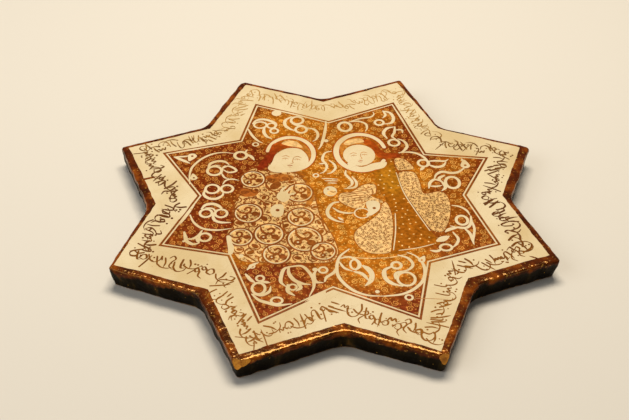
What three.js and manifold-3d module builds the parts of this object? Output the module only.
// Eight-pointed wall tile of glazed fritware with a lustre-painted face, lying on its back.
// Millimetres, +Z up, origin at the centre of the underside's box. The picture's top is towards +Y.
// One fired slab: its outline is an eight-pointed star cut by hand, its sides lean in a
// little towards the back so that tiles could be set close together, and its points are chipped.

import * as THREE from 'three';
import { mergeVertices } from 'three/addons/utils/BufferGeometryUtils.js';
import Module from 'manifold-3d';

// ---------- driving dimensions ----------

const POINT_COUNT = 8;
const TIP_RADIUS = 157; // centre to the sharp corner of a point
const NOTCH_RADIUS = 121.5; // centre to the inner corner between two points
const THICKNESS = 16;
const TIP_ROUNDING = 2.4; // how far back from a point's corner its worn curve starts
const NOTCH_ROUNDING = 6.5; // the same at an inner corner, where the knife turned
const CURVE_STEPS = 5; // straight steps in each rounded corner

// Where the knife missed the true star, as [outwards, anticlockwise], going round from +X.
const TIP_CUT = [
  [-1, -2.5], [2, 0.5], [3, 1], [4.5, -3.5],
  [1, 2], [2.5, -3.5], [-0.5, -0.5], [-1, -3],
];
const NOTCH_CUT = [
  [0, -0.5], [-4, 0.5], [0, 1], [3, 0.5],
  [2.5, 2.5], [2, -0.5], [-0.5, 0.5], [-2, 1.5],
];

// The side's profile from the back up: height, and inset from the widest outline.
const SIDE_PROFILE = [
  { height: 0, inset: 2.4 },
  { height: 0.9, inset: 1.7 },
  { height: 5.0, inset: 1.1 },
  { height: 10.0, inset: 0.4 },
  { height: 13.0, inset: 0.05 },
  { height: 14.4, inset: 0 },
  { height: 15.2, inset: 0.2 },
  { height: 15.7, inset: 0.6 },
  { height: THICKNESS, inset: 1.3 },
];

// Chips knocked off the points: which point, how large the break is, how deep it bites in from
// the corner, how high its centre sits, and how far round the point it lies.
const CHIPS = [
  { point: 5, size: 16, bite: 6.0, height: 18.7, around: 1.5 },
  { point: 6, size: 12, bite: 4.6, height: 15, around: -1.5 },
  { point: 2, size: 11, bite: 4.2, height: 17, around: 0.5 },
  { point: 3, size: 12, bite: 2.8, height: 12, around: 0 },
  { point: 4, size: 9, bite: 2.2, height: 15, around: -3 },
  { point: 0, size: 10, bite: 2.6, height: 12, around: 1.5 },
  { point: 1, size: 8, bite: 2.2, height: 17, around: -2.5 },
  { point: 7, size: 8, bite: 2.2, height: 12, around: 1 },
  { point: 5, size: 9, bite: 8.6, height: 16.5, around: 8.5 },
];

// Small flakes off the upper edge between a point and the notch after it: which point, how far
// along that edge, and their size.
const FLAKES = [
  { point: 2, along: 0.45, size: 5 },
  { point: 3, along: 0.72, size: 6 },
  { point: 5, along: 0.35, size: 5 },
  { point: 6, along: 0.6, size: 4.5 },
  { point: 0, along: 0.5, size: 5 },
];
const FLAKE_BITE = 1.1;

// ---------- outline ----------

const polar = (radius, angle) => new THREE.Vector2(radius * Math.cos(angle), radius * Math.sin(angle));

/** A corner of the star, moved by its cut outwards and anticlockwise. */
function corner(radius, angle, [outwards, round]) {
  const place = polar(radius + outwards, angle);
  const sideways = polar(round, angle + Math.PI / 2);
  return place.add(sideways);
}

/** The star's sixteen corners, points and notches in turn, anticlockwise from the first point. */
function starCorners() {
  const step = (2 * Math.PI) / POINT_COUNT;
  const corners = [];
  for (let i = 0; i < POINT_COUNT; i++) {
    const tipAngle = (i + 0.5) * step;
    const notchAngle = (i + 1) * step;
    const notchCut = NOTCH_CUT[(i + 1) % POINT_COUNT];
    corners.push({ at: corner(TIP_RADIUS, tipAngle, TIP_CUT[i]), rounding: TIP_ROUNDING });
    corners.push({ at: corner(NOTCH_RADIUS, notchAngle, notchCut), rounding: NOTCH_ROUNDING });
  }
  return corners;
}

/** A point at a given distance from one corner towards another. */
function towards(from, to, distance) {
  const way = to.clone().sub(from).setLength(distance);
  return from.clone().add(way);
}

/** The widest outline, with every corner rounded. */
function starShape(corners) {
  const shape = new THREE.Shape();
  corners.forEach(({ at, rounding }, i) => {
    const before = corners[(i + corners.length - 1) % corners.length].at;
    const after = corners[(i + 1) % corners.length].at;
    const start = towards(at, before, rounding);
    const end = towards(at, after, rounding);
    if (i === 0) {
      shape.moveTo(start.x, start.y);
    } else {
      shape.lineTo(start.x, start.y);
    }
    shape.quadraticCurveTo(at.x, at.y, end.x, end.y);
  });
  shape.closePath();
  return shape;
}

// ---------- solids ----------

/**
 * The unbroken slab. Every edge of the star lies about as far from the centre as the others, so
 * drawing a layer in towards the centre sets all its edges back by the same inset.
 */
function slabGeometry(corners) {
  const layers = SIDE_PROFILE.length - 1;
  const geometry = new THREE.ExtrudeGeometry(starShape(corners), {
    depth: layers,
    steps: layers,
    bevelEnabled: false,
    curveSegments: CURVE_STEPS,
  });
  const edgeDistance = TIP_RADIUS * Math.cos((2 * Math.PI) / POINT_COUNT);
  const position = geometry.getAttribute('position');
  for (let i = 0; i < position.count; i++) {
    const { height, inset } = SIDE_PROFILE[Math.round(position.getZ(i))];
    const drawnIn = 1 - inset / edgeDistance;
    position.setXYZ(i, position.getX(i) * drawnIn, position.getY(i) * drawnIn, height);
  }
  return geometry;
}

/** A rough lump, flattened a little, that breaks a hollow with flat facets. */
function breakGeometry(size, turn) {
  const geometry = new THREE.IcosahedronGeometry(size, 1);
  geometry.scale(1, 1.25, 0.8);
  geometry.rotateX(turn);
  geometry.rotateZ(turn * 2);
  return geometry;
}

/** The lumps that knock the chips off the points. */
function chipTools(corners) {
  return CHIPS.map(({ point, size, bite, height, around }) => {
    const tip = corners[2 * point].at;
    const outwards = tip.clone().setLength(size - bite);
    const sideways = new THREE.Vector2(-tip.y, tip.x).setLength(around);
    const geometry = breakGeometry(size, point + 1);
    geometry.translate(tip.x + outwards.x + sideways.x, tip.y + outwards.y + sideways.y, height);
    return geometry;
  });
}

/** The lumps that lift the small flakes off the upper edge. */
function flakeTools(corners) {
  return FLAKES.map(({ point, along, size }) => {
    const tip = corners[2 * point].at;
    const notch = corners[2 * point + 1].at;
    const place = tip.clone().lerp(notch, along);
    const edge = notch.clone().sub(tip).normalize();
    const outwards = new THREE.Vector2(edge.y, -edge.x).multiplyScalar(-(size - FLAKE_BITE));
    const side = outwards.dot(place) > 0 ? outwards : outwards.negate();
    const geometry = breakGeometry(size, along + point);
    geometry.translate(place.x + side.x, place.y + side.y, THICKNESS + size * 0.35);
    return geometry;
  });
}

const wasm = await Module();
wasm.setup();

/** A closed geometry as a solid that can be cut. */
function toSolid(geometry) {
  const bare = geometry.clone();
  bare.deleteAttribute('normal');
  bare.deleteAttribute('uv');
  const merged = mergeVertices(bare);
  const vertProperties = new Float32Array(merged.getAttribute('position').array);
  const triVerts = new Uint32Array(merged.getIndex().array);
  return new wasm.Manifold(new wasm.Mesh({ numProp: 3, vertProperties, triVerts }));
}

/** A cut solid as a geometry again. */
function toGeometry(solid) {
  const { vertProperties, triVerts } = solid.getMesh();
  const geometry = new THREE.BufferGeometry();
  geometry.setAttribute('position', new THREE.BufferAttribute(new Float32Array(vertProperties), 3));
  geometry.setIndex(new THREE.BufferAttribute(new Uint32Array(triVerts), 1));
  return geometry;
}

/** Moves a geometry so that its box stands centred on the origin, on Z = 0. */
function centreOnBase(geometry) {
  geometry.computeBoundingBox();
  const { min, max } = geometry.boundingBox;
  geometry.translate(-(min.x + max.x) / 2, -(min.y + max.y) / 2, -min.z);
  return geometry;
}

/** The tile: the slab with its chips and flakes broken away. */
function tileGeometry() {
  const corners = starCorners();
  const breaks = [...chipTools(corners), ...flakeTools(corners)];
  let solid = toSolid(slabGeometry(corners));
  for (const tool of breaks) {
    solid = solid.subtract(toSolid(tool));
  }
  const geometry = centreOnBase(toGeometry(solid));
  geometry.computeVertexNormals();
  return geometry;
}

// ---------- the model ----------

const glazedFritware = new THREE.MeshStandardMaterial({
  name: 'lustre_glazed_fritware',
  color: 0xc9954a,
  roughness: 0.28,
  metalness: 0.1,
});

const tile = new THREE.Mesh(tileGeometry(), glazedFritware);
tile.name = 'star_tile';

const model = new THREE.Group();
model.add(tile);

export default model;
